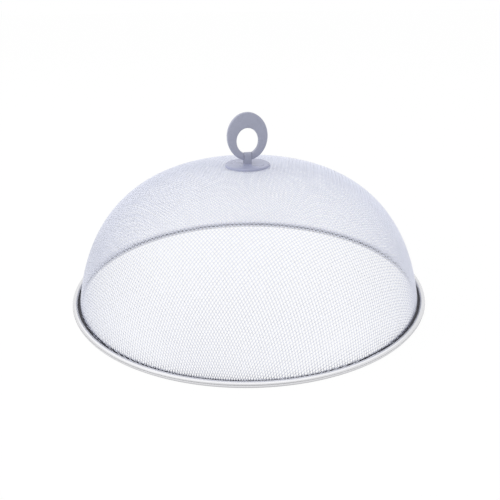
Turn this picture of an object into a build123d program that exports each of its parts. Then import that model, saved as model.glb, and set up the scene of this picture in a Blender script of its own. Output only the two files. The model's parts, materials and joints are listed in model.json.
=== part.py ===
from build123d import *

import os

import numpy as np

# Domed wire-mesh food cover with a rolled steel rim and a folding pull ring.
# Millimetres, +Z up, origin on the table at the middle of the rim. The ring's hinge runs along X.

# Rim: a sheet strip folded double into a flat base, with a low leg inside the cloth. Outside the
# cloth its two layers part round a core wire, and their edges meet in a seam on the outer side.
rim_diameter = 350.0
rim_sheet = 0.65
core_diameter = 3.3
core_clearance = 0.2
core_flats = 6
cavity_flats = 8
wall_flats = 2
shoulder_flats = 2
curl_flats = 3
seam_angle = 24.0
seam_gap = 0.25
groove_gap = 1.7
leg_rise = 1.0
leg_clearance = 0.5

# Dome: its section is a superellipse that is widest below the table
crown_height = 125.7
dome_root = -73.7
dome_fullness = 2.71

# Wire cloth: a plain weave laid over the dome like a fishnet, drawn with one
# thick wire for every ten of the real cloth
drawn_pitch = 25.4
wire_thickness = 1.4
crossing_clearance = 0.12
weave_turn = 25.3
hem_height = 1.0
curve_samples = 4001
solver_rounds = 30

# Handle plate on the crown, and the plate that backs it inside
disc_diameter = 42.6
disc_thickness = 2.0
disc_round = 1.4
disc_flats = 3
washer_diameter = 28.0
washer_thickness = 2.0
washer_chamfer = 0.4
washer_socket = 1.2
washer_gap = 0.2

# Post: a forked clip whose eye holds the ring's bottom bar, with a tang down through the plate
post_width = 7.2
post_depth = 5.6
post_height = 10.85
hinge_height = 6.5
tang_width = 6.0
tang_depth = 4.6
fork_slot = 2.2

# Pull ring: a flat oval with an oval hole set low
ring_width = 38.4
ring_height = 44.45
ring_thickness = 4.5
ring_chamfer = 0.5
hole_width = 20.9
hole_height = 24.0
bottom_band = 6.2
journal_diameter = 3.2
journal_clearance = 0.1
side_clearance = 0.3

# Screw from inside, up into the fork
screw_head_diameter = 7.4
screw_head_height = 2.2
screw_head_chamfer = 0.6
screw_tip_gap = 0.6

fit_clearance = 0.05

# Rim sizes that follow
rim_radius = rim_diameter / 2
core_radius = core_diameter / 2
core_cavity = core_radius + core_clearance
bead_radius = core_cavity + rim_sheet
bead_line = rim_radius - bead_radius
bead_inner = bead_line - bead_radius
base_thickness = 2 * rim_sheet
cloth_foot_radius = bead_inner - groove_gap

# Cloth sizes that follow
cloth_thickness = 2 * (wire_thickness + crossing_clearance)
dome_height = crown_height - dome_root
foot_share = (base_thickness - dome_root) / dome_height
dome_reach = cloth_foot_radius / (1 - foot_share**dome_fullness) ** (1 / dome_fullness)
leg_outer = cloth_foot_radius - cloth_thickness - leg_clearance

# Handle levels that follow
disc_radius = disc_diameter / 2
washer_radius = washer_diameter / 2
disc_seat = crown_height + fit_clearance
disc_top = disc_seat + disc_thickness
hinge_level = disc_top + hinge_height
eye_radius = journal_diameter / 2 + journal_clearance
ring_bottom = hinge_level - bottom_band / 2
hole_bottom = hinge_level + bottom_band / 2


def dome_level(radius):
    """Height of the outside of the cloth at a radius from the axis."""
    share = 1 - (radius / dome_reach) ** dome_fullness
    return dome_root + dome_height * share ** (1 / dome_fullness)


washer_top = dome_level(washer_radius) - cloth_thickness - washer_gap
washer_bottom = washer_top - washer_thickness
tang_bottom = washer_top - washer_socket + fit_clearance


def dome_surplus(point):
    """How far a point lies off the dome: zero on it, more outside."""
    radius = np.hypot(point[0], point[1]) / dome_reach
    height = (point[2] - dome_root) / dome_height
    return radius**dome_fullness + height**dome_fullness - 1


def dome_slope(point):
    """Gradient of dome_surplus, which points out of the dome."""
    radius = np.hypot(point[0], point[1])
    side = dome_fullness / dome_reach * (radius / dome_reach) ** (dome_fullness - 1)
    rise = dome_fullness / dome_height * ((point[2] - dome_root) / dome_height) ** (dome_fullness - 1)
    return np.array([side * point[0] / radius, side * point[1] / radius, rise])


def dome_normal(point):
    slope = dome_slope(point)
    return slope / np.linalg.norm(slope)


def meridian(step):
    """Points down the dome's section, one step apart along the curve, from the crown to its widest level."""
    angle = np.linspace(0, np.pi / 2, curve_samples)
    radius = dome_reach * np.sin(angle) ** (2 / dome_fullness)
    level = dome_root + dome_height * np.cos(angle) ** (2 / dome_fullness)
    run = np.concatenate([[0], np.cumsum(np.hypot(np.diff(radius), np.diff(level)))])
    stations = np.arange(0, run[-1], step)
    return np.interp(stations, run, radius), np.interp(stations, run, level)


def next_knot(before, left, right, step):
    """The point of the dome that lies one step from both neighbours, on the far side from the knot before."""
    knot = left + right - before
    for _ in range(solver_rounds):
        if knot[2] <= dome_root:
            return None
        to_left, to_right = knot - left, knot - right
        misses = [to_left @ to_left - step**2, to_right @ to_right - step**2, dome_surplus(knot)]
        slopes = [2 * to_left, 2 * to_right, dome_slope(knot)]
        knot = knot - np.linalg.solve(slopes, misses)
    return knot


def fishnet(step, lowest):
    """Knots of a net whose cell sides are all one step long, laid on the dome from two crossed meridians."""
    radius, level = meridian(step)
    knots = {(0, 0): np.array([0.0, 0.0, crown_height])}
    for k in range(1, len(radius)):
        knots[k, 0] = np.array([radius[k], 0.0, level[k]])
        knots[0, k] = np.array([0.0, radius[k], level[k]])
    for i in range(1, len(radius)):
        for j in range(1, len(radius)):
            left, right = knots.get((i - 1, j)), knots.get((i, j - 1))
            if left is None or right is None or max(left[2], right[2]) < lowest:
                continue
            knot = next_knot(knots[i - 1, j - 1], left, right, step)
            if knot is not None:
                knots[i, j] = knot
    return knots


def crossings():
    """Where the drawn wires cross. Wires run at odd half pitches, so none meets the axis."""
    quarter = fishnet(drawn_pitch / 2, base_thickness - drawn_pitch)
    found = {}
    for (i, j), knot in quarter.items():
        if i % 2 and j % 2:
            for sign_i in (1, -1):
                for sign_j in (1, -1):
                    found[sign_i * i, sign_j * j] = knot * (sign_i, sign_j, 1)
    return found


def foot_point(below, above, foot):
    """Where the straight run between two points passes the foot level."""
    share = (foot - below[2]) / (above[2] - below[2])
    return below + share * (above - below)


def wire_route(knots, foot):
    """One wire's points: over and under at its crossings, and cut off level at the foot."""
    sway = wire_thickness / 2 + crossing_clearance
    points = [spot + dome_normal(spot) * (side * sway - cloth_thickness / 2) for spot, side in knots]
    inside = [k for k, point in enumerate(points) if point[2] > foot]
    if not inside:
        return []
    first, last = inside[0], inside[-1]
    route = points[first : last + 1]
    if first > 0:
        route.insert(0, foot_point(points[first - 1], points[first], foot))
    if last < len(points) - 1:
        route.append(foot_point(points[last + 1], points[last], foot))
    return route


def square_wire(route):
    """The two halves of a wire of square section with straight runs between its points."""
    heading = np.gradient(np.array(route), axis=0)
    sections = []
    for point, ahead in zip(route, heading):
        across = np.cross(dome_normal(point), ahead)
        plane = Plane(origin=tuple(point), x_dir=tuple(across), z_dir=tuple(ahead))
        sections.append((plane * Rectangle(wire_thickness, wire_thickness)).wire())
    middle = len(sections) // 2
    return [Solid.make_loft(half, ruled=True) for half in (sections[: middle + 1], sections[middle:])]


def turned_ring(inner, outer, low, high):
    """A plain ring of rectangular section."""
    section = Pos((inner + outer) / 2, (low + high) / 2) * Rectangle(outer - inner, high - low)
    return revolve(Plane.XZ * section, Axis.Z)


def wire_mesh():
    knots = crossings()
    foot = base_thickness + hem_height / 2
    reach = max(i for i, _ in knots)
    odd = range(-reach, reach + 1, 2)
    hem_top = base_thickness + hem_height
    cloth = turned_ring(cloth_foot_radius - cloth_thickness, cloth_foot_radius, 0, hem_top)
    drawn = 0
    for fixed in odd:
        # Neighbouring crossings swap over and under, and the two directions take opposite sides
        warp = [(knots[fixed, j], 1 - (fixed + j) % 4) for j in odd if (fixed, j) in knots]
        weft = [(knots[j, fixed], (fixed + j) % 4 - 1) for j in odd if (j, fixed) in knots]
        routes = [wire_route(line, foot) for line in (warp, weft)]
        halves = [half for route in routes if len(route) > 2 for half in square_wire(route)]
        if halves:
            cloth = cloth.fuse(*halves)
            drawn += len(halves) // 2
    cloth = split(cloth, Plane.XY.offset(base_thickness), keep=Keep.TOP)
    print("wires drawn:", drawn)
    return Rot(0, 0, weave_turn) * cloth


def turn(middle, radius, start, end, flats):
    """Points round part of a circle that is drawn with flats, from one angle to another."""
    angles = np.radians(np.linspace(start, end, flats + 1))
    return [(middle[0] + radius * np.cos(angle), middle[1] + radius * np.sin(angle)) for angle in angles]


def rim_channel():
    bead = (bead_line, bead_radius)
    slit = np.degrees(seam_gap / bead_radius) / 2
    below, above = seam_angle - slit, seam_angle + slit
    # Where the upper layer leaves the base to go round the core wire
    parting = 180 + np.degrees(np.arcsin((bead_radius - base_thickness) / bead_radius))
    leg_inner = leg_outer - base_thickness
    leg_top = base_thickness + leg_rise
    outline = Polyline(
        (leg_inner, 0),
        *turn(bead, bead_radius, -90, 0, wall_flats),
        *turn(bead, bead_radius, below, below, 0),
        *turn(bead, core_cavity, below, above - 360, cavity_flats),
        *turn(bead, bead_radius, above, 90, shoulder_flats),
        *turn(bead, bead_radius, 90, parting, curl_flats)[1:],
        (leg_outer, base_thickness),
        (leg_outer, leg_top),
        (leg_inner, leg_top),
        close=True,
    )
    return revolve(Plane.XZ * make_face(outline), Axis.Z)


def rim_hoop():
    section = Pos(bead_line, bead_radius) * RegularPolygon(core_radius, core_flats)
    return revolve(Plane.XZ * section, Axis.Z)


def handle_disc():
    shoulder = (disc_radius - disc_round, disc_top - disc_round)
    outline = Polyline(
        (0, disc_seat),
        (disc_radius, disc_seat),
        *turn(shoulder, disc_round, 0, 90, disc_flats),
        (0, disc_top),
        close=True,
    )
    plate = revolve(Plane.XZ * make_face(outline), Axis.Z)
    return plate - tang_block(fit_clearance, disc_seat - disc_thickness, disc_top + disc_thickness)


def tang_block(clearance, low, high):
    """The tang's outline between two levels, or the socket that it fits."""
    block = Box(tang_width + 2 * clearance, tang_depth + 2 * clearance, high - low)
    return Pos(0, 0, (low + high) / 2) * block


def ring_post():
    shoulder = disc_top + post_height - post_depth / 2
    side = Pos(0, (disc_top + shoulder) / 2) * Rectangle(post_depth, shoulder - disc_top)
    side += Pos(0, shoulder) * Circle(post_depth / 2)
    post = extrude(Plane.YZ * side, post_width / 2, both=True)
    post += tang_block(0, tang_bottom, disc_top)
    slot_height = hinge_level - tang_bottom
    post -= Pos(0, 0, hinge_level - slot_height / 2) * Box(post_width, fork_slot, slot_height)
    return post - Pos(0, 0, hinge_level) * Rot(0, 90, 0) * Cylinder(eye_radius, post_width)


def pull_ring():
    outline = Pos(0, ring_bottom + ring_height / 2) * Ellipse(ring_width / 2, ring_height / 2)
    hole_middle = hole_bottom + hole_height / 2
    outline -= Pos(0, hole_middle) * Ellipse(hole_width / 2, hole_height / 2)
    plate = extrude(Plane.XZ * outline, ring_thickness / 2, both=True)
    flats = plate.faces().filter_by(Axis.Y)
    plate = chamfer(flats.edges(), ring_chamfer)
    gap = post_width + 2 * side_clearance
    gap_height = hole_middle - ring_bottom
    plate -= Pos(0, 0, hole_middle - gap_height / 2) * Box(gap, ring_thickness, gap_height)
    journal_length = gap + 2 * ring_chamfer
    return plate + Pos(0, 0, hinge_level) * Rot(0, 90, 0) * Cylinder(journal_diameter / 2, journal_length)


def backing_washer():
    plate = Pos(0, 0, washer_top - washer_thickness / 2) * Cylinder(washer_radius, washer_thickness)
    plate = chamfer(plate.edges().group_by(Axis.Z)[0], washer_chamfer)
    plate -= tang_block(fit_clearance, washer_top - washer_socket, washer_top + washer_thickness)
    return plate - Pos(0, 0, washer_bottom) * Cylinder(fork_slot / 2, 2 * washer_thickness)


def fixing_screw():
    head_bottom = washer_bottom - screw_head_height
    head = Cylinder(screw_head_diameter / 2, screw_head_height)
    head = chamfer(head.edges().group_by(Axis.Z)[0], screw_head_chamfer)
    head = Pos(0, 0, (washer_bottom + head_bottom) / 2) * head
    tip = hinge_level - eye_radius - screw_tip_gap
    shank = Cylinder(fork_slot / 2 - fit_clearance, tip - head_bottom)
    return head + Pos(0, 0, (tip + head_bottom) / 2) * shank


pieces = {
    "wire_mesh": wire_mesh,
    "rim_channel": rim_channel,
    "rim_hoop": rim_hoop,
    "handle_disc": handle_disc,
    "ring_post": ring_post,
    "pull_ring": pull_ring,
    "backing_washer": backing_washer,
    "fixing_screw": fixing_screw,
}

os.makedirs("parts", exist_ok=True)
for name, make in pieces.items():
    export_step(make(), os.path.join("parts", name + ".step"))
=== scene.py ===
# %% [markdown]
# # A mesh food cover, piece by piece
# The object is a shallow dome of woven steel wire that stands over food on a table. A rolled steel rim
# holds the cut edge of the cloth, and a grey plastic pull ring folds down on the crown.
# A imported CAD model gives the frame: every piece below is built in metres, in the CAD's own place, and
# then rides on a CAD body. The fine wire cloth is the main work, because the CAD draws only every tenth
# wire.

# %% Load the frame
import json
import math

import bmesh
import bpy
import numpy as np
from mathutils import Matrix, Vector


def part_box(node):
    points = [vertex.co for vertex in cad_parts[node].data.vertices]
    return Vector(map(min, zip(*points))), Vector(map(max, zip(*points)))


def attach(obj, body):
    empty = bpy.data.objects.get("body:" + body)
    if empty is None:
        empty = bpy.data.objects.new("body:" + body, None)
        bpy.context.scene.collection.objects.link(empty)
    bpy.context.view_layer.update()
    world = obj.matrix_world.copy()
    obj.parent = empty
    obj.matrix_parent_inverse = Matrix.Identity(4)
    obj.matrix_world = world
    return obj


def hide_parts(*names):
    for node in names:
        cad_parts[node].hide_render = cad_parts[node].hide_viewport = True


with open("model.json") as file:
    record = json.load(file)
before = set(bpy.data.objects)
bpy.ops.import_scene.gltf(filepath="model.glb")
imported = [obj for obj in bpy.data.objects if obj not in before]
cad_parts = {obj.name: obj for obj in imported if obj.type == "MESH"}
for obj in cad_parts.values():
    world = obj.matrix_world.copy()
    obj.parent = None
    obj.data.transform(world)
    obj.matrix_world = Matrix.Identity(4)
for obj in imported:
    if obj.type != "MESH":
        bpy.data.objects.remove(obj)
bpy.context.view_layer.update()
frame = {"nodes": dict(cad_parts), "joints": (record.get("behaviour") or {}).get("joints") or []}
scene = bpy.context.scene
scene.view_settings.view_transform = "Standard"
MM = 0.001

# %% [markdown]
# ## The camera
# The rim's ellipse, the arc of the back rim seen through the cloth and the dome's outline fix where the
# photographer stood: higher than the crown, and about thirteen degrees to the left of the pull ring's front.
# A camera could be set by eye, but the wires are so fine that a small error of place would change their
# pattern, so this one was fitted. It aims at a point on the dome's axis, with a slight roll.

# %% Camera
CAMERA_DISTANCE = 574.3 * MM
CAMERA_ELEVATION = math.radians(23.39)
CAMERA_HEADING = math.radians(12.71)
CAMERA_PAN = math.radians(0.17)
CAMERA_ROLL = math.radians(-0.551)
AIM_HEIGHT = 38.52 * MM
FOCAL_LENGTH = 41.04
SENSOR_WIDTH = 36.0
NEAREST_SEEN = 10 * MM

lens = bpy.data.cameras.new("photo_camera")
lens.lens = FOCAL_LENGTH
lens.sensor_width = SENSOR_WIDTH
lens.clip_start = NEAREST_SEEN
camera = bpy.data.objects.new("photo_camera", lens)
scene.collection.objects.link(camera)
turn = Matrix.Rotation(-CAMERA_HEADING, 4, "Z")
stand = Vector(
    (
        0,
        -CAMERA_DISTANCE * math.cos(CAMERA_ELEVATION),
        AIM_HEIGHT + CAMERA_DISTANCE * math.sin(CAMERA_ELEVATION),
    )
)
look = (
    Matrix.Rotation(-CAMERA_PAN, 4, "Z")
    @ Matrix.Rotation(math.pi / 2 - CAMERA_ELEVATION, 4, "X")
    @ Matrix.Rotation(CAMERA_ROLL, 4, "Z")
)
camera.matrix_world = turn @ Matrix.Translation(stand) @ look
scene.camera = camera
print("camera at", [round(c, 3) for c in camera.matrix_world.translation])

# %% [markdown]
# ## Node helpers
# The floor, the room, the finishes and the weave are all trees of nodes. They could be wired by hand in
# Blender's editor, but a script can be read and run again. Four helpers keep it short: they add a node, set
# or link an input, start a material, and choose a number by the kind of light ray that asks for it.


# %% Node helpers
def add(tree, kind, **values):
    """A node with some of its properties set."""
    node = tree.nodes.new(kind)
    for name, value in values.items():
        setattr(node, name, value)
    return node


def feed(tree, node, socket, source):
    """Sets an input to a plain value, or links it to another node's output."""
    target = node.inputs[socket]
    if isinstance(source, bpy.types.NodeSocket):
        tree.links.new(source, target)
    else:
        target.default_value = source


def fresh_material(name):
    """An empty material with its output node."""
    material = bpy.data.materials.new(name)
    material.use_nodes = True
    material.node_tree.nodes.clear()
    output = add(material.node_tree, "ShaderNodeOutputMaterial")
    return material, material.node_tree, output


def by_ray(tree, seen, mirrored, lit):
    """A number for what the camera sees, one for what metal mirrors and one for the light on things."""
    path = add(tree, "ShaderNodeLightPath")
    straight = add(tree, "ShaderNodeMath", operation="MAXIMUM")
    feed(tree, straight, 0, path.outputs["Is Camera Ray"])
    feed(tree, straight, 1, path.outputs["Is Transmission Ray"])
    bounced = add(tree, "ShaderNodeMix", data_type="FLOAT")
    feed(tree, bounced, "Factor", path.outputs["Is Glossy Ray"])
    feed(tree, bounced, "A", lit)
    feed(tree, bounced, "B", mirrored)
    number = add(tree, "ShaderNodeMix", data_type="FLOAT")
    feed(tree, number, "Factor", straight.outputs[0])
    feed(tree, number, "A", bounced.outputs["Result"])
    feed(tree, number, "B", seen)
    return number.outputs["Result"]


# %% [markdown]
# ## The floor
# The object stands on plain white. Strong light on a white floor could give that, but it would bleach the
# object too. So what the camera and shiny metal see of this floor is mostly its own glow, which holds the
# white, and the rest is paint, which keeps a faint shadow.

# %% Floor
FLOOR_SIZE = 40.0
FLOOR_DROP = 0.1 * MM
FLOOR_PAINT = (0.9, 0.9, 0.9, 1)
WHITE = (1, 1, 1, 1)
GLOW_SEEN = 0.96
GLOW_MIRRORED = 0.8
GLOW_LIGHTING = 0.0
GLOW_STRENGTH = 1.01

floor_finish, tree, output = fresh_material("white_floor")
paint = add(tree, "ShaderNodeBsdfDiffuse")
feed(tree, paint, "Color", FLOOR_PAINT)
glow = add(tree, "ShaderNodeEmission")
feed(tree, glow, "Color", WHITE)
feed(tree, glow, "Strength", GLOW_STRENGTH)
blend = add(tree, "ShaderNodeMixShader")
feed(tree, blend, 0, by_ray(tree, GLOW_SEEN, GLOW_MIRRORED, GLOW_LIGHTING))
feed(tree, blend, 1, paint.outputs[0])
feed(tree, blend, 2, glow.outputs[0])
feed(tree, output, "Surface", blend.outputs[0])

half = FLOOR_SIZE / 2
floor_mesh = bpy.data.meshes.new("floor")
corners = [(-half, -half), (half, -half), (half, half), (-half, half)]
floor_mesh.from_pydata([(x, y, -FLOOR_DROP) for x, y in corners], [], [(0, 1, 2, 3)])
floor_mesh.materials.append(floor_finish)
floor = bpy.data.objects.new("floor", floor_mesh)
scene.collection.objects.link(floor)
print("floor:", FLOOR_SIZE, "m square")

# %% [markdown]
# ## The light
# The light is soft: a bright room, a wide softbox overhead, and two weak ones in front and on the left that
# metal doesn't mirror. The left one gives the pull ring its light edge. An even white room alone would be
# simpler, but the wires and the rim would mirror the same white all round and almost vanish. So in
# reflections the front of the room is a little dimmer than the rest, as in a real studio, and that gives
# the wires and the rim's bead their grey lines.

# %% Room
SKY_SEEN = 1.0
SKY_LIGHTING = 0.7
FRONT_SIDE = Vector((-0.2, -0.87, 0.45))
FRONT_SPREAD = math.radians(45)
FRONT_CORE = math.radians(10)
FRONT_SHADE = 0.85

world = bpy.data.worlds.new("white_room")
scene.world = world
world.use_nodes = True
tree = world.node_tree
tree.nodes.clear()
output = add(tree, "ShaderNodeOutputWorld")
sky = add(tree, "ShaderNodeBackground")
feed(tree, sky, "Color", WHITE)
facing_front = add(tree, "ShaderNodeVectorMath", operation="DOT_PRODUCT")
feed(tree, facing_front, 0, add(tree, "ShaderNodeTexCoord").outputs["Generated"])
feed(tree, facing_front, 1, FRONT_SIDE.normalized())
room = add(tree, "ShaderNodeMapRange", interpolation_type="SMOOTHSTEP")
feed(tree, room, "Value", facing_front.outputs["Value"])
feed(tree, room, "From Min", math.cos(FRONT_SPREAD))
feed(tree, room, "From Max", math.cos(FRONT_CORE))
feed(tree, room, "To Min", SKY_SEEN)
feed(tree, room, "To Max", FRONT_SHADE)
feed(tree, sky, "Strength", by_ray(tree, SKY_SEEN, room.outputs[0], SKY_LIGHTING))
feed(tree, output, "Surface", sky.outputs[0])
print("room: white, with a front of", FRONT_SHADE, "in reflections")

# %% Lamps
DOME_MIDDLE = Vector((0, 0, 60 * MM))


def softbox(name, place, size, power, mirrored):
    """A square area lamp that faces the middle of the dome, and that shiny pieces mirror or not."""
    lamp = bpy.data.lights.new(name, "AREA")
    lamp.size = size
    lamp.energy = power
    box = bpy.data.objects.new(name, lamp)
    scene.collection.objects.link(box)
    box.visible_glossy = mirrored
    place = Vector(place)
    facing = (DOME_MIDDLE - place).to_track_quat("-Z", "Y")
    box.matrix_world = Matrix.Translation(place) @ facing.to_matrix().to_4x4()
    print(name, power, "W,", size, "m wide")


softbox("overhead_softbox", place=(-0.2, 0.1, 1.6), size=4.0, power=13, mirrored=True)
softbox("front_softbox", place=(-0.5, -1.9, 0.8), size=2.0, power=2, mirrored=False)
softbox("side_softbox", place=(-1.9, -0.1, 1.0), size=0.8, power=10, mirrored=False)

# %% [markdown]
# ## Finishes
# Four recipes make every finish: drawn wire, polished strip, satin plastic and zinc plate. Pictures wrapped
# round the pieces could do it too. Noise from nodes needs no file and no unwrapping, and it gives each finish
# the slow unevenness of colour and gloss that real metal and moulded plastic have.


# %% Finish helpers
def noise(tree, scale, detail, stretch=(1, 1, 1)):
    """Noise on the piece's own coordinates, so it moves with the piece."""
    place = add(tree, "ShaderNodeTexCoord")
    mapping = add(tree, "ShaderNodeMapping")
    feed(tree, mapping, "Vector", place.outputs["Object"])
    feed(tree, mapping, "Scale", stretch)
    texture = add(tree, "ShaderNodeTexNoise")
    feed(tree, texture, "Vector", mapping.outputs[0])
    feed(tree, texture, "Scale", scale)
    feed(tree, texture, "Detail", detail)
    return texture.outputs["Fac"]


def between(tree, factor, low, high):
    """A number that goes from low to high with the factor."""
    span = add(tree, "ShaderNodeMapRange")
    feed(tree, span, "Value", factor)
    feed(tree, span, "To Min", low)
    feed(tree, span, "To Max", high)
    return span.outputs[0]


def tint(tree, factor, dark, light):
    """A colour that goes from dark to light with the factor."""
    mix = add(tree, "ShaderNodeMix", data_type="RGBA")
    feed(tree, mix, "Factor", factor)
    feed(tree, mix, "A", (*dark, 1))
    feed(tree, mix, "B", (*light, 1))
    return mix.outputs["Result"]


def shine(tree, output, metallic):
    """The main shader, joined to the output."""
    shader = add(tree, "ShaderNodeBsdfPrincipled")
    feed(tree, shader, "Metallic", metallic)
    feed(tree, output, "Surface", shader.outputs[0])
    return shader


def relief(tree, shader, height, strength, distance):
    """Fine bump on the shader from a height."""
    bump = add(tree, "ShaderNodeBump")
    feed(tree, bump, "Height", height)
    feed(tree, bump, "Strength", strength)
    feed(tree, bump, "Distance", distance)
    feed(tree, shader, "Normal", bump.outputs[0])


# %% [markdown]
# ### Drawn wire
# The cloth and the core of the bead are bare steel wire. It is drawn through a die, which leaves it bright
# but not as smooth as a mirror. Scratches could run along every wire, but the wires are thinner than a pixel,
# so only a slow change of tone and gloss would show, and that is what this recipe makes.

# %% Drawn wire
WIRE_CLOUDS = 220.0
WIRE_DETAIL = 3.0
WIRE_GLOSS_SPREAD = 0.06


def drawn_wire(name, dark, light, rough):
    """Bare drawn steel wire."""
    material, tree, output = fresh_material(name)
    shader = shine(tree, output, metallic=1.0)
    uneven = noise(tree, WIRE_CLOUDS, WIRE_DETAIL)
    gloss = between(tree, uneven, rough - WIRE_GLOSS_SPREAD, rough + WIRE_GLOSS_SPREAD)
    feed(tree, shader, "Base Color", tint(tree, uneven, dark, light))
    feed(tree, shader, "Roughness", gloss)
    return material


cloth_steel = drawn_wire("cloth_steel", dark=(0.75, 0.77, 0.86), light=(0.85, 0.87, 0.96), rough=0.34)
core_steel = drawn_wire("core_steel", dark=(0.22, 0.22, 0.23), light=(0.32, 0.32, 0.33), rough=0.45)
print("drawn wire:", cloth_steel.name, core_steel.name)

# %% [markdown]
# ### Polished strip
# The rim is rolled from polished strip, and faint streaks run round it. Shade is painted on it: it is dark in
# the groove and inside the bead, and darker towards the table on the lower side, as a painted reflection of
# the shadow there. Two materials could share the rim, but they would meet at a hard border. So there is one,
# which fades to a dark, rough painted shade by an attribute of the mesh.

# %% Polished strip
STREAK_SCALE = 60.0
STREAK_STRETCH = (1, 1, 12)
STREAK_DETAIL = 4.0
POLISHED_TONES = {"dark": (0.70, 0.70, 0.72), "light": (0.78, 0.78, 0.80)}
POLISHED_GLOSS = {"low": 0.14, "high": 0.24}
# This dark tone and high roughness are painted shade, for the groove, the inside of the bead and the lower
# side.
PAINTED_SHADE_TONE = (0.12, 0.12, 0.135, 1)
PAINTED_SHADE_ROUGHNESS = 0.7


def polished_strip():
    """Rim steel: polished, fading to a dark, rough painted shade where the mesh's shade attribute goes to 1.
    """
    material, tree, output = fresh_material("rim_steel")
    shader = shine(tree, output, metallic=1.0)
    streaks = noise(tree, STREAK_SCALE, STREAK_DETAIL, STREAK_STRETCH)
    painted_shade = add(tree, "ShaderNodeAttribute", attribute_name="painted_shade").outputs["Fac"]
    tone = add(tree, "ShaderNodeMix", data_type="RGBA")
    feed(tree, tone, "Factor", painted_shade)
    feed(tree, tone, "A", tint(tree, streaks, **POLISHED_TONES))
    feed(tree, tone, "B", PAINTED_SHADE_TONE)
    feed(tree, shader, "Base Color", tone.outputs["Result"])
    dull = add(tree, "ShaderNodeMix", data_type="FLOAT")
    feed(tree, dull, "Factor", painted_shade)
    feed(tree, dull, "A", between(tree, streaks, **POLISHED_GLOSS))
    feed(tree, dull, "B", PAINTED_SHADE_ROUGHNESS)
    feed(tree, shader, "Roughness", dull.outputs["Result"])
    return material


rim_steel = polished_strip()
print("polished strip:", rim_steel.name)

# %% [markdown]
# ### Satin plastic
# The handle is moulded plastic with a fine satin grain from its mould. As geometry the grain would take
# millions of faces, so a fine noise makes it by bump, and a slow noise clouds the colour and the gloss. The
# recipe serves three colours: the ring with its clip; the plate, which is the same plastic with extra blue as
# painted light for the cooler light its top catches; and the pale backing plate.

# %% Satin plastic
CLOUD_SCALE = 70.0
CLOUD_DETAIL = 4.0
SATIN_GLOSS = {"low": 0.24, "high": 0.32}
GRAIN_SCALE = 2600.0
GRAIN_DETAIL = 2.0
GRAIN_STRENGTH = 0.12
GRAIN_HEIGHT = 0.02 * MM


def satin_plastic(name, dark, light):
    """Moulded plastic with a fine moulding grain."""
    material, tree, output = fresh_material(name)
    shader = shine(tree, output, metallic=0.0)
    cloudy = noise(tree, CLOUD_SCALE, CLOUD_DETAIL)
    grain = noise(tree, GRAIN_SCALE, GRAIN_DETAIL)
    feed(tree, shader, "Base Color", tint(tree, cloudy, dark, light))
    feed(tree, shader, "Roughness", between(tree, cloudy, **SATIN_GLOSS))
    relief(tree, shader, grain, GRAIN_STRENGTH, GRAIN_HEIGHT)
    return material


plastic = satin_plastic("grey_plastic", dark=(0.355, 0.37, 0.475), light=(0.405, 0.42, 0.525))
# The plate's extra blue over the ring's plastic is painted light, for the cooler light on its top.
plate_plastic = satin_plastic("plate_plastic", dark=(0.355, 0.375, 0.525), light=(0.405, 0.425, 0.575))
pale_plastic = satin_plastic("pale_plastic", dark=(0.80, 0.80, 0.81), light=(0.86, 0.86, 0.87))
print("satin plastic:", plastic.name, plate_plastic.name, pale_plastic.name)

# %% [markdown]
# ### Zinc plate
# A small screw like this one is zinc plated, which is duller than polished steel and looks cloudy. Its
# crystals could be drawn as cells, but they are too small to see on a head of 7 mm, so noise clouds it.

# %% Zinc plate
ZINC_CLOUDS = 400.0
ZINC_DETAIL = 4.0
ZINC_TONES = {"dark": (0.52, 0.53, 0.54), "light": (0.68, 0.68, 0.70)}
ZINC_GLOSS = {"low": 0.25, "high": 0.45}


def zinc_plate():
    """Zinc plated screw steel."""
    material, tree, output = fresh_material("zinc_plate")
    shader = shine(tree, output, metallic=1.0)
    cloudy = noise(tree, ZINC_CLOUDS, ZINC_DETAIL)
    feed(tree, shader, "Base Color", tint(tree, cloudy, **ZINC_TONES))
    feed(tree, shader, "Roughness", between(tree, cloudy, **ZINC_GLOSS))
    return material


zinc = zinc_plate()
print("zinc plate:", zinc.name)

# %% [markdown]
# ## The wire cloth
# The dome is pressed from one flat piece of square-woven wire. The wires don't stretch: pressing only turns
# their crossings, as in a fishnet pulled over a ball, so every cell keeps four equal sides and becomes a
# lozenge towards the rim on the bias. A grid projected onto the dome would stretch the wires, and a cloth
# simulation of so many would take long, so that rule itself gives the whole cloth. Two wires run straight
# down the dome from the crown, and each further crossing is the point of the dome one pitch away from both
# of its neighbours.

# %% Dome
WIRE_PITCH = 2.54 * MM
WIRE_THICKNESS = 0.5 * MM
WEAVE_TURN = math.radians(25.3)
DOME_ROOT = -73.7 * MM
DOME_FULLNESS = 2.71
CLOTH_FOOT_RADIUS = 168.3 * MM
GROOVE_FLOOR = 1.3 * MM
SEAT_CLEARANCE = 0.05 * MM
CURVE_SAMPLES = 4001
TINY = 1e-9

plate_low, plate_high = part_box("handle_disc")
crown_height = plate_low[2] - SEAT_CLEARANCE
dome_height = crown_height - DOME_ROOT
foot_share = (GROOVE_FLOOR - DOME_ROOT) / dome_height
dome_reach = CLOTH_FOOT_RADIUS / (1 - foot_share**DOME_FULLNESS) ** (1 / DOME_FULLNESS)
print("dome: crown at", round(crown_height / MM, 2), "mm, reach", round(dome_reach / MM, 1), "mm")


def dome_surplus(points):
    """How far points lie off the dome: zero on it, more outside."""
    radius = np.hypot(points[:, 0], points[:, 1]) / dome_reach
    height = np.maximum(points[:, 2] - DOME_ROOT, 0) / dome_height
    return radius**DOME_FULLNESS + height**DOME_FULLNESS - 1


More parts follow.
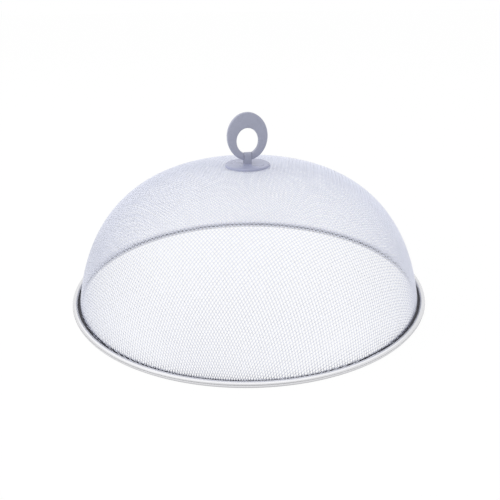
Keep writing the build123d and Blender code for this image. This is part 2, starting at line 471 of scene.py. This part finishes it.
def dome_slope(points):
    """Gradient of dome_surplus, which points out of the dome."""
    radius = np.maximum(np.hypot(points[:, 0], points[:, 1]), TINY)
    height = np.maximum(points[:, 2] - DOME_ROOT, 0)
    side = DOME_FULLNESS / dome_reach * (radius / dome_reach) ** (DOME_FULLNESS - 1)
    rise = DOME_FULLNESS / dome_height * (height / dome_height) ** (DOME_FULLNESS - 1)
    return np.stack([side * points[:, 0] / radius, side * points[:, 1] / radius, rise], axis=1)


def meridian(step):
    """Radius and level down the dome's section, one step apart along the curve."""
    angle = np.linspace(0, np.pi / 2, CURVE_SAMPLES)
    radius = dome_reach * np.sin(angle) ** (2 / DOME_FULLNESS)
    level = DOME_ROOT + dome_height * np.cos(angle) ** (2 / DOME_FULLNESS)
    run = np.concatenate([[0], np.cumsum(np.hypot(np.diff(radius), np.diff(level)))])
    stations = np.arange(0, run[-1], step)
    return np.interp(stations, run, radius), np.interp(stations, run, level)


# %% Crossings
SOLVER_ROUNDS = 8


def next_knots(before, left, right, step):
    """The points of the dome one step from both neighbours, on the far side from the knots before."""
    knots = left + right - before
    for _ in range(SOLVER_ROUNDS):
        to_left, to_right = knots - left, knots - right
        misses = np.stack(
            [(to_left**2).sum(1) - step**2, (to_right**2).sum(1) - step**2, dome_surplus(knots)], axis=1
        )
        slopes = np.stack([2 * to_left, 2 * to_right, dome_slope(knots)], axis=1)
        knots = knots - np.linalg.solve(slopes, misses[:, :, None])[:, :, 0]
    return knots


def quarter_net(step, lowest):
    """A grid of crossings for a quarter of the dome, with gaps where the cloth has left it."""
    radius, level = meridian(step)
    count = len(radius)
    net = np.full((count, count, 3), np.nan)
    net[:, 0] = np.stack([radius, np.zeros(count), level], axis=1)
    net[0, :] = np.stack([np.zeros(count), radius, level], axis=1)
    for total in range(2, 2 * count - 1):
        i = np.arange(max(1, total - count + 1), min(count - 1, total - 1) + 1)
        j = total - i
        high = np.fmax(net[i - 1, j, 2], net[i, j - 1, 2]) > lowest
        known = high & ~np.isnan(net[i - 1, j, 2] + net[i, j - 1, 2])
        i, j = i[known], j[known]
        if len(i):
            net[i, j] = next_knots(net[i - 1, j - 1], net[i - 1, j], net[i, j - 1], step)
    return net


def whole_net(quarter):
    """The quarter mirrored into all four."""
    count = len(quarter)
    steps = np.arange(count)
    net = np.full((2 * count - 1, 2 * count - 1, 3), np.nan)
    for along in (1, -1):
        for across in (1, -1):
            rows, columns = count - 1 + along * steps, count - 1 + across * steps
            net[np.ix_(rows, columns)] = quarter * (along, across, 1)
    return net


net = whole_net(quarter_net(WIRE_PITCH, GROOVE_FLOOR - 2 * WIRE_PITCH))
print("crossings above the groove:", int((net[:, :, 2] > GROOVE_FLOOR).sum()))

# %% [markdown]
# ### From crossings to wires
# Each wire is a chain of straight runs from crossing to crossing. It stops at the floor of the rim's groove,
# where its cut end is turned in, and it leaves a small hole at the crown for the tang of the handle. The
# wires could be hundreds of curve objects with a bevel. One Geometry Nodes tree is lighter and keeps the
# sizes in one place: a chain stores at every point which way is out of the dome and whether the wire passes
# over or under, and the tree swings the points to that side and wraps a round wire round the chain.

# %% Chains
TURNED_IN = 0.4 * MM
CROWN_HOLE = 4.2 * MM


def chain(points, sides):
    """One wire's points and sides, cut at the groove floor and with its ends turned in."""
    inside = np.flatnonzero(points[:, 2] > GROOVE_FLOOR)
    if len(inside) < 2:
        return None
    first, last = inside[0], inside[-1]
    route, swing = points[first : last + 1], sides[first : last + 1]
    for end, beyond in ((0, first - 1), (-1, last + 1)):
        share = (route[end, 2] - GROOVE_FLOOR) / (route[end, 2] - points[beyond, 2])
        foot = route[end] + share * (points[beyond] - route[end])
        side = swing[end] + share * (sides[beyond] - swing[end])
        inward = -foot * (1, 1, 0) / np.hypot(foot[0], foot[1])
        tail = [foot, foot + inward * TURNED_IN]
        place = 0 if end == 0 else len(route)
        route = np.insert(route, place, tail[::-1] if end == 0 else tail, axis=0)
        swing = np.insert(swing, place, [side, side])
    return route, swing


def chains(net, first_side):
    """All the wires that run along the net's second index."""
    found = []
    for i, row in enumerate(net):
        solid = ~np.isnan(row[:, 2])
        odd = (i + np.flatnonzero(solid)) % 2 == 1
        wire = chain(row[solid], first_side * np.where(odd, -1.0, 1.0))
        if wire is not None:
            found.append(wire)
    return found


def chain_mesh(name, wires):
    """A mesh of edges only, with the attributes outward and side at its points."""
    points, outward, sides, edges = [], [], [], []
    for route, swing in wires:
        start = sum(len(part) for part in points)
        slope = dome_slope(route)
        points.append(route)
        outward.append(slope / np.linalg.norm(slope, axis=1)[:, None])
        sides.append(swing)
        open_run = np.hypot(route[:, 0], route[:, 1]) > CROWN_HOLE
        joined = np.flatnonzero(open_run[:-1] & open_run[1:])
        edges.append(np.stack([joined, joined + 1], axis=1) + start)
    points, outward = np.concatenate(points), np.concatenate(outward)
    spin = np.array(Matrix.Rotation(WEAVE_TURN, 3, "Z"))
    mesh = bpy.data.meshes.new(name)
    mesh.from_pydata((points @ spin.T).tolist(), np.concatenate(edges).tolist(), [])
    ways = mesh.attributes.new("outward", "FLOAT_VECTOR", "POINT")
    ways.data.foreach_set("vector", (outward @ spin.T).ravel())
    passes = mesh.attributes.new("side", "FLOAT", "POINT")
    passes.data.foreach_set("value", np.concatenate(sides))
    return mesh


warp = chains(net, 1)
weft = chains(net.transpose(1, 0, 2), -1)
print("warp wires:", len(warp), "weft wires:", len(weft))


# %% Geometry Nodes tree of the woven wire
def woven_wire_tree():
    """Swings the points of a chain over and under, and wraps a round wire round it."""
    tree = bpy.data.node_groups.new("woven_wire", "GeometryNodeTree")
    inputs = {}
    for label, kind in (
        ("Chains", "NodeSocketGeometry"),
        ("Wire Thickness", "NodeSocketFloat"),
        ("Sides", "NodeSocketInt"),
        ("Finish", "NodeSocketMaterial"),
    ):
        inputs[label] = tree.interface.new_socket(label, in_out="INPUT", socket_type=kind).identifier
    tree.interface.new_socket("Wires", in_out="OUTPUT", socket_type="NodeSocketGeometry")
    source = add(tree, "NodeGroupInput").outputs
    outward = add(tree, "GeometryNodeInputNamedAttribute", data_type="FLOAT_VECTOR")
    feed(tree, outward, "Name", "outward")
    side = add(tree, "GeometryNodeInputNamedAttribute", data_type="FLOAT")
    feed(tree, side, "Name", "side")
    # The side is 1 over and -1 under. In thicknesses, side / 2 - 1 lays a wire that passes over just inside
    # the dome, and one that passes under a whole thickness further in
    depth = add(tree, "ShaderNodeMath", operation="MULTIPLY_ADD")
    feed(tree, depth, 0, side.outputs[0])
    feed(tree, depth, 1, 0.5)
    feed(tree, depth, 2, -1.0)
    swing = add(tree, "ShaderNodeMath", operation="MULTIPLY")
    feed(tree, swing, 0, depth.outputs[0])
    feed(tree, swing, 1, source["Wire Thickness"])
    offset = add(tree, "ShaderNodeVectorMath", operation="SCALE")
    feed(tree, offset, 0, outward.outputs[0])
    feed(tree, offset, "Scale", swing.outputs[0])
    swung = add(tree, "GeometryNodeSetPosition")
    feed(tree, swung, "Geometry", source["Chains"])
    feed(tree, swung, "Offset", offset.outputs[0])
    path = add(tree, "GeometryNodeMeshToCurve")
    feed(tree, path, "Mesh", swung.outputs[0])
    # The section is a circle whose radius is half the wire's thickness
    radius = add(tree, "ShaderNodeMath", operation="MULTIPLY")
    feed(tree, radius, 0, source["Wire Thickness"])
    feed(tree, radius, 1, 0.5)
    section = add(tree, "GeometryNodeCurvePrimitiveCircle")
    feed(tree, section, "Resolution", source["Sides"])
    feed(tree, section, "Radius", radius.outputs[0])
    wire = add(tree, "GeometryNodeCurveToMesh")
    feed(tree, wire, "Curve", path.outputs[0])
    feed(tree, wire, "Profile Curve", section.outputs[0])
    feed(tree, wire, "Fill Caps", True)
    real = add(tree, "GeometryNodeRealizeInstances")
    feed(tree, real, 0, wire.outputs[0])
    finish = add(tree, "GeometryNodeSetMaterial")
    feed(tree, finish, "Geometry", real.outputs[0])
    feed(tree, finish, "Material", source["Finish"])
    feed(tree, add(tree, "NodeGroupOutput"), 0, finish.outputs[0])
    return tree, inputs


wire_tree, wire_inputs = woven_wire_tree()
print("woven wire:", len(wire_tree.nodes), "nodes, inputs", list(wire_inputs))


# %% Building helpers
def apply_modifiers(piece):
    """Makes the result of a piece's modifiers its own plain mesh."""
    ready = piece.evaluated_get(bpy.context.evaluated_depsgraph_get())
    built = bpy.data.meshes.new_from_object(ready)
    piece.modifiers.clear()
    piece.data = built


def made_by(tree, inputs, name, mesh, values):
    """The plain mesh object that a node tree makes from a mesh."""
    piece = bpy.data.objects.new(name, mesh)
    scene.collection.objects.link(piece)
    modifier = piece.modifiers.new("build", "NODES")
    modifier.node_group = tree
    for label, value in values.items():
        modifier[inputs[label]] = value
    apply_modifiers(piece)
    return piece


# %% Weave the cloth
WIRE_SIDES = 6

wire_values = {"Wire Thickness": WIRE_THICKNESS, "Sides": WIRE_SIDES, "Finish": cloth_steel}
for name, wires in (("warp", warp), ("weft", weft)):
    middle = len(wires) // 2
    for half_name, share in (("left", wires[:middle]), ("right", wires[middle:])):
        label = name + "_wires_" + half_name
        piece = made_by(wire_tree, wire_inputs, label, chain_mesh(label, share), wire_values)
        piece.data.shade_smooth()
        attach(piece, "cover")
        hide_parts("wire_mesh")
        print(label, len(share), "wires,", len(piece.data.polygons), "faces")

# %% [markdown]
# ## The rim
# One strip of steel makes the rim. It is folded double into a flat base, and the fold stands up as a low leg
# inside the cloth. Outside the cloth its two layers part round a core wire and make a round bead, and their
# edges meet in a thin seam on its outer side. A curve with a bevel could carry the section round, but turning
# is the natural way for a round piece: one outline that holds every size, swept once round the axis.

# %% Turning helpers
SHARP_PAST = 35.0
MERGED_WITHIN = 1e-7


def arc(middle, radius, start, end, count):
    """Points round part of a circle, from one angle to another in degrees."""
    angles = np.radians(np.linspace(start, end, count + 1))
    return [(middle[0] + radius * math.cos(a), middle[1] + radius * math.sin(a)) for a in angles]


def made(name, shape, finish, sharp=SHARP_PAST):
    """An object from a closed shape, with doubles merged and edges sharp past an angle."""
    bmesh.ops.remove_doubles(shape, verts=shape.verts, dist=MERGED_WITHIN)
    bmesh.ops.recalc_face_normals(shape, faces=shape.faces)
    mesh = bpy.data.meshes.new(name)
    shape.to_mesh(mesh)
    shape.free()
    mesh.materials.append(finish)
    mesh.shade_smooth()
    mesh.set_sharp_from_angle(angle=math.radians(sharp))
    piece = bpy.data.objects.new(name, mesh)
    scene.collection.objects.link(piece)
    return piece


def turned(name, outline, steps, finish):
    """A solid of revolution about the Z axis from a closed outline of (radius, level)."""
    shape = bmesh.new()
    rings = []
    for k in range(steps):
        angle = 2 * math.pi * k / steps
        rings.append([shape.verts.new((r * math.cos(angle), r * math.sin(angle), z)) for r, z in outline])
    for k in range(steps):
        here, there = rings[k], rings[(k + 1) % steps]
        for p in range(len(outline)):
            q = (p + 1) % len(outline)
            if outline[p][0] > 0 or outline[q][0] > 0:
                shape.faces.new((here[p], here[q], there[q], there[p]))
    return made(name, shape, finish)


# %% Rim
RIM_STEPS = 360
RIM_SHEET = 0.65 * MM
SEAM_ANGLE = 19.0
SEAM_GAP = 0.18 * MM
LEG_RISE = 1.0 * MM
LEG_CLEARANCE = 0.5 * MM
BEAD_LOWER_STEPS = 20
BEAD_UPPER_STEPS = 32
CAVITY_STEPS = 40
LEG_STEPS = 10

rim_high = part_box("rim_channel")[1]
bead_radius = rim_high[2] / 2
cavity = bead_radius - RIM_SHEET
bead = (rim_high[0] - bead_radius, bead_radius)
slit = math.degrees(SEAM_GAP / bead_radius) / 2
below, above = SEAM_ANGLE - slit, SEAM_ANGLE + slit
parting = 180 + math.degrees(math.asin((bead_radius - GROOVE_FLOOR) / bead_radius))
leg_outer = CLOTH_FOOT_RADIUS - 2 * WIRE_THICKNESS - LEG_CLEARANCE
leg_round = GROOVE_FLOOR / 2
leg_top = (leg_outer - leg_round, GROOVE_FLOOR + LEG_RISE - leg_round)

rim_outline = (
    [(leg_outer - GROOVE_FLOOR, 0)]
    + arc(bead, bead_radius, -90, below, BEAD_LOWER_STEPS)
    + arc(bead, cavity, below, above - 360, CAVITY_STEPS)
    + arc(bead, bead_radius, above, parting, BEAD_UPPER_STEPS)
    + [(leg_outer, GROOVE_FLOOR)]
    + arc(leg_top, leg_round, 0, 180, LEG_STEPS)
)
rim = turned("rolled_rim", rim_outline, RIM_STEPS, rim_steel)
print("rim:", len(rim.data.polygons), "faces, bead", round(2 * bead_radius / MM, 2), "mm thick")

# %% [markdown]
# ### Where shade is painted on the rim
# The groove and the inside of the bead get a full painted shade. The outer side is painted darker towards the
# table, as a painted reflection of the shadow there. The inner side of the leg and the side of the bead next
# to the cloth get a faint painted shade. A mask could be painted by hand, but each of these places has a
# plain size in the section, so the code marks them at each point of the mesh.

# %% Painted shade of the rim
FIT = 0.05 * MM
GROOVE_DARKNESS = 1.5 * MM
UNDERSIDE_SHADE_LEVEL = 2.2 * MM
FAINT_SHADE_WIDTH = 1.25 * MM
FAINT_SHADE_SHARE = 0.2


# Full painted shade goes in the groove and inside the bead. Painted shade grows towards the table on the
# outer side, standing for the reflected shadow there. A faint painted shade goes on the leg's inner side and
# beside the cloth.
def painted_shade_at(radius, level):
    """How much shade is painted at a point of the rim's section, from 0 to 1."""
    in_groove = leg_outer - leg_round / 2 < radius < bead[0] - cavity and 0 < level < GROOVE_DARKNESS
    in_bead = math.hypot(radius - bead[0], level - bead_radius) < cavity + RIM_SHEET / 2
    if in_groove or in_bead:
        return 1.0
    underside_shade = max(0.0, 1 - level / UNDERSIDE_SHADE_LEVEL) if radius > bead[0] - FIT else 0.0
    on_leg = radius < leg_outer - leg_round
    by_cloth = -FIT < radius - (bead[0] - bead_radius) < FAINT_SHADE_WIDTH
    return max(underside_shade, FAINT_SHADE_SHARE if on_leg or by_cloth else 0.0)


# Each point of the rim carries its painted shade in this attribute.
painted_shade = rim.data.attributes.new("painted_shade", "FLOAT", "POINT").data
for vertex, mark in zip(rim.data.vertices, painted_shade):
    mark.value = painted_shade_at(math.hypot(vertex.co.x, vertex.co.y), vertex.co.z)
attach(rim, "cover")
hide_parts("rim_channel")
print("fully dark points of the rim:", sum(mark.value == 1 for mark in painted_shade))

# %% [markdown]
# ### Core wire
# The bead is rolled round a core wire, which shows only through the seam. A new hoop could replace the CAD's,
# but that one already has the right shape, so it stays and only gets its finish.

# %% Core wire
core = frame["nodes"]["rim_hoop"]
core.data.materials.clear()
core.data.materials.append(core_steel)
print("core wire:", core.name, "in", core_steel.name)

# %% [markdown]
# ## The handle
# A round plate sits on the crown. A small clip stands on it and holds the thin bottom bar of the pull ring,
# which can fold down to either side. Under the cloth a backing plate and one screw hold everything together.
#
# ### Plate
# The plate is a disc with a rounded upper edge and a rectangular hole for the tang of the clip. A boolean
# could cut the hole, but it leaves odd faces round its cut. Here the disc is turned with a round hole, whose
# points are then drawn out to the rectangle, so the mesh stays closed and all of quads.

# %% Plate
PLATE_ROUND = 1.4 * MM
PLATE_ROUND_STEPS = 10
PLATE_STEPS = 128
TANG_WIDTH = 6.0 * MM
TANG_DEPTH = 4.6 * MM
HOLE_START = 2.6 * MM
NEAR = 0.1 * MM


def squared(piece, width, depth, low):
    """Draws the vertices of a round hole above a level out to a rectangle round the tang."""
    for vertex in piece.data.vertices:
        x, y, z = vertex.co
        if abs(math.hypot(x, y) - HOLE_START) < NEAR and z > low:
            scale = min(width / 2 / max(abs(x), TINY), depth / 2 / max(abs(y), TINY))
            vertex.co = (x * scale, y * scale, z)


plate_radius = plate_high[0]
plate_seat, plate_top = plate_low[2], plate_high[2]
plate_edge = (plate_radius - PLATE_ROUND, plate_top - PLATE_ROUND)
plate_outline = (
    [(HOLE_START, plate_seat), (plate_radius, plate_seat)]
    + arc(plate_edge, PLATE_ROUND, 0, 90, PLATE_ROUND_STEPS)
    + [(HOLE_START, plate_top)]
)
plate = turned("handle_plate", plate_outline, PLATE_STEPS, plate_plastic)
squared(plate, TANG_WIDTH, TANG_DEPTH, plate_seat - FIT)
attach(plate, "cover")
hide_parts("handle_disc")
print("plate:", round(2 * plate_radius / MM, 1), "mm across")

# %% [markdown]
# ### Clip
# The clip is a small forked block with a round top. Its slot lets the ring's bar snap up into an eye, and two
# legs, its tang, go down through the plate. Booleans on a block could shape it. Its outline is the same all
# along the bar, so it is drawn once and extruded, and a bevel then rounds only the edges that show.

# %% Clip
POST_WIDTH = 7.2 * MM
POST_DEPTH = 5.6 * MM
FORK_SLOT = 2.2 * MM
EYE_RADIUS = 1.7 * MM
POST_ARC_STEPS = 24
POST_ROUND = 0.45 * MM
POST_ROUND_STEPS = 3
ROUND_PROFILE = 0.5
HANDLE_SHARP_PAST = 40.0

hinge = Vector(frame["joints"][0]["pos_m"])
post_low, post_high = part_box("ring_post")
shoulder = post_high[2] - POST_DEPTH / 2
eye_mouth = math.degrees(math.acos(FORK_SLOT / 2 / EYE_RADIUS))


def showing(edge):
    """Whether an edge of the block bounds an end of it, away from the plate, the eye and the slot."""
    ends = [v.co for v in edge.verts]
    return (
        abs(ends[0].x - ends[1].x) < TINY
        and max(end.z for end in ends) > plate_top + NEAR
        and all(math.hypot(end.y, end.z - hinge.z) > EYE_RADIUS + 2 * NEAR for end in ends)
        and all(abs(end.y) > FORK_SLOT / 2 + NEAR or end.z > hinge.z for end in ends)
    )


def post_piece():
    """The forked clip: its side outline drawn across the ring's bar, with rounded ends, and its two legs."""
    side = (
        [(POST_DEPTH / 2, plate_top)]
        + arc((0, shoulder), POST_DEPTH / 2, 0, 180, POST_ARC_STEPS)
        + [(-POST_DEPTH / 2, plate_top), (-FORK_SLOT / 2, plate_top)]
        + arc((0, hinge.z), EYE_RADIUS, 180 + eye_mouth, -eye_mouth, POST_ARC_STEPS)
        + [(FORK_SLOT / 2, plate_top)]
    )
    shape = bmesh.new()
    front = shape.faces.new([shape.verts.new((-POST_WIDTH / 2, y, z)) for y, z in side])
    grown = bmesh.ops.extrude_face_region(shape, geom=[front])
    moved = [part for part in grown["geom"] if isinstance(part, bmesh.types.BMVert)]
    bmesh.ops.translate(shape, verts=moved, vec=(POST_WIDTH, 0, 0))
    bmesh.ops.bevel(
        shape,
        geom=[edge for edge in shape.edges if showing(edge)],
        offset=POST_ROUND,
        segments=POST_ROUND_STEPS,
        profile=ROUND_PROFILE,
        affect="EDGES",
    )
    thick = (TANG_DEPTH - FORK_SLOT) / 2
    for way in (1, -1):
        leg = bmesh.ops.create_cube(shape, size=1.0)["verts"]
        bmesh.ops.scale(shape, verts=leg, vec=(TANG_WIDTH - 2 * FIT, thick - FIT, plate_top - post_low[2]))
        middle = (0, way * (FORK_SLOT + thick) / 2, (plate_top + post_low[2]) / 2)
        bmesh.ops.translate(shape, verts=leg, vec=middle)
    return made("ring_clip", shape, plastic, HANDLE_SHARP_PAST)


post = post_piece()
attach(post, "cover")
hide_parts("ring_post")
print("clip:", len(post.data.polygons), "faces, eye at", round(hinge.z / MM, 2), "mm")

# %% [markdown]
# ### Pull ring
# The pull is a flat oval with a hole set low, so its bottom band is thin, and a round bar that turns in the
# clip closes it. A flat oval with its hole cut out would need its edges rounded afterwards. Here one section
# with round corners is carried between the two ovals, wide at the top and thin at the bottom, and its last
# stations shrink to the bar, so the whole ring is one closed band.

# %% Pull ring
RING_HEIGHT = 44.45 * MM
HOLE_WIDTH = 20.9 * MM
HOLE_HEIGHT = 24.0 * MM
BOTTOM_BAND = 6.2 * MM
RING_ROUND = 0.9 * MM
BAR_RADIUS = 1.6 * MM
NOTCH = 7.8 * MM
RING_STATIONS = 128
CORNER_STEPS = 4

ring_low, ring_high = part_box("pull_ring")
ring_width, ring_thickness = ring_high[0] - ring_low[0], ring_high[1] - ring_low[1]
outer_middle = ring_high[2] - RING_HEIGHT / 2
hole_middle = hinge.z + BOTTOM_BAND / 2 + HOLE_HEIGHT / 2


def oval(width, height, middle, share):
    """A point of an oval, from one side of the notch at share 0 round over the top to the other at 1."""
    start = math.asin(NOTCH / width)
    angle = start + share * (2 * math.pi - 2 * start)
    return Vector((width / 2 * math.sin(angle), 0, middle - height / 2 * math.cos(angle)))


def ring_section(inner, outer):
    """The ring's flat section with rounded corners, between a point of the hole and one of the outside."""
    across = outer - inner
    length = across.length
    across.normalize()
    corners = (
        (length - RING_ROUND, ring_thickness / 2 - RING_ROUND, 0),
        (RING_ROUND, ring_thickness / 2 - RING_ROUND, 90),
        (RING_ROUND, RING_ROUND - ring_thickness / 2, 180),
        (length - RING_ROUND, RING_ROUND - ring_thickness / 2, 270),
    )
    points = []
    for along, out, start in corners:
        points += arc((along, out), RING_ROUND, start, start + 90, CORNER_STEPS)
    return [inner + across * along + Vector((0, out, 0)) for along, out in points]


def pull_ring_piece():
    """One closed band: round the oval, and back through the thin bar between the sides of the notch."""
    sections = []
    for k in range(RING_STATIONS + 1):
        share = k / RING_STATIONS
        inner = oval(HOLE_WIDTH, HOLE_HEIGHT, hole_middle, share)
        outer = oval(ring_width, RING_HEIGHT, outer_middle, share)
        sections.append(ring_section(inner, outer))
    for face in (sections[-1], sections[0]):
        bar = []
        for point in face:
            away = Vector((0, point.y - hinge.y, point.z - hinge.z)).normalized()
            bar.append(Vector((point.x, hinge.y, hinge.z)) + away * BAR_RADIUS)
        sections.append(bar)
    shape = bmesh.new()
    loops = [[shape.verts.new(point) for point in section] for section in sections]
    size = len(loops[0])
    for k, here in enumerate(loops):
        there = loops[(k + 1) % len(loops)]
        for p in range(size):
            q = (p + 1) % size
            shape.faces.new((here[p], here[q], there[q], there[p]))
    return made("oval_pull", shape, plastic, HANDLE_SHARP_PAST)


ring = pull_ring_piece()
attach(ring, "ring")
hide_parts("pull_ring")
print("pull ring:", round(ring_width / MM, 1), "by", round(RING_HEIGHT / MM, 1), "mm")

# %% [markdown]
# ### Backing plate
# A pale plate under the cloth clamps it against the plate above. It meets the cloth at its edge, tapers there
# from below, and has a socket for the tang. A plain disc would be quicker, but its thick edge would show
# through the cloth. So it is turned with the taper in its outline, and its socket is squared like the hole.

# %% Backing plate
SCREW_HOLE = 1.15 * MM
BACKING_ROUND = 0.4 * MM
BACKING_ROUND_STEPS = 6
BACKING_EDGE = 1.2 * MM
BACKING_BOSS = 5.0 * MM
TAPER_END = -75
SOCKET_DEPTH = 1.2 * MM

back_low, back_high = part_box("backing_washer")
back_radius, back_bottom, socket_floor = back_high[0], back_low[2], back_high[2] - SOCKET_DEPTH
edge_share = (back_radius / dome_reach) ** DOME_FULLNESS
back_top = DOME_ROOT + dome_height * (1 - edge_share) ** (1 / DOME_FULLNESS) - 2 * WIRE_THICKNESS
back_edge = back_top - BACKING_EDGE
round_radius = back_radius - BACKING_ROUND
back_outline = (
    [(SCREW_HOLE, back_bottom), (BACKING_BOSS, back_bottom)]
    + arc((round_radius, back_edge + BACKING_ROUND), BACKING_ROUND, TAPER_END, 0, BACKING_ROUND_STEPS)
    + arc((round_radius, back_top - BACKING_ROUND), BACKING_ROUND, 0, 90, BACKING_ROUND_STEPS)
    + [(HOLE_START, back_top), (HOLE_START, socket_floor), (SCREW_HOLE, socket_floor)]
)
backing = turned("backing_plate", back_outline, PLATE_STEPS, pale_plastic)
squared(backing, TANG_WIDTH + 2 * FIT, TANG_DEPTH + 2 * FIT, socket_floor - FIT)
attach(backing, "cover")
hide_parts("backing_washer")
print("backing plate:", round(2 * back_radius / MM, 1), "mm across, top at", round(back_top / MM, 2), "mm")

# %% [markdown]
# ### Screw
# One screw from inside the dome goes up between the legs of the clip and holds the handle together. Its head
# and shank are turned. The cross recess is the one shape here that turning can't give, so a boolean cuts it,
# with two crossed bars as the cutter.

# %% Screw
SCREW_STEPS = 48
SCREW_HEAD = 3.7 * MM
SCREW_HEAD_ROUND = 1.4 * MM
SCREW_HEAD_STEPS = 8
SCREW_CORE = 1.05 * MM
SCREW_TIP = 0.42 * MM
SCREW_TIP_LENGTH = 1.0 * MM
RECESS_LENGTH = 4.2 * MM
RECESS_WIDTH = 0.9 * MM
RECESS_DEPTH = 1.2 * MM

screw_low, screw_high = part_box("fixing_screw")
head_low, tip_high = screw_low[2], screw_high[2]
head_edge = (SCREW_HEAD - SCREW_HEAD_ROUND, head_low + SCREW_HEAD_ROUND)
screw_outline = (
    [(0, head_low)]
    + arc(head_edge, SCREW_HEAD_ROUND, -90, 0, SCREW_HEAD_STEPS)
    + [(SCREW_HEAD, back_bottom), (SCREW_CORE, back_bottom), (SCREW_CORE, tip_high - SCREW_TIP_LENGTH)]
    + [(SCREW_TIP, tip_high), (0, tip_high)]
)
screw = turned("clamp_screw", screw_outline, SCREW_STEPS, zinc)
cutter_shape = bmesh.new()
for size in ((RECESS_LENGTH, RECESS_WIDTH), (RECESS_WIDTH, RECESS_LENGTH)):
    bar = bmesh.ops.create_cube(cutter_shape, size=1.0)["verts"]
    bmesh.ops.scale(cutter_shape, verts=bar, vec=(*size, 2 * RECESS_DEPTH))
    bmesh.ops.translate(cutter_shape, verts=bar, vec=(0, 0, head_low))
cutter = made("recess_cutter", cutter_shape, zinc)
cut = screw.modifiers.new("recess", "BOOLEAN")
cut.operation = "DIFFERENCE"
cut.object = cutter
cut.use_self = True
apply_modifiers(screw)
bpy.data.objects.remove(cutter)
screw.data.set_sharp_from_angle(angle=math.radians(SHARP_PAST))
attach(screw, "cover")
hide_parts("fixing_screw")
print("screw:", len(screw.data.polygons), "faces,", round((tip_high - head_low) / MM, 1), "mm long")
